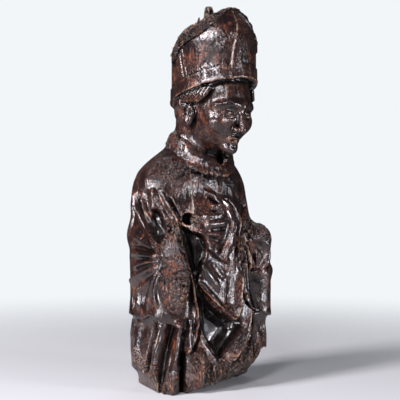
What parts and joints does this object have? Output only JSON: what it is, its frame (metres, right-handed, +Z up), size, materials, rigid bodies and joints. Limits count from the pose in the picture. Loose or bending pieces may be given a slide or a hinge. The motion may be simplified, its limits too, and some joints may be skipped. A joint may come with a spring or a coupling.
{
  "type": "sculpted bust",
  "caption": "Half-length dark oak figure of a mitred bishop with bowed head, standing collar and a chasuble hung in deep folds; hands, foot and rear horn of the mitre lost.",
  "frame": {"origin": "middle of the bounding box in plan, on the plane of the underside", "axes": "+Z up, the figure looks towards -Y, its own right side is -X"},
  "size_m": [0.2313, 0.1774, 0.5927],
  "materials": {
    "oak": "dark stained oak, waxed and worn"
  },
  "bodies": {
    "root": {"bishop_bust": "oak"}
  },
  "joints": []
}
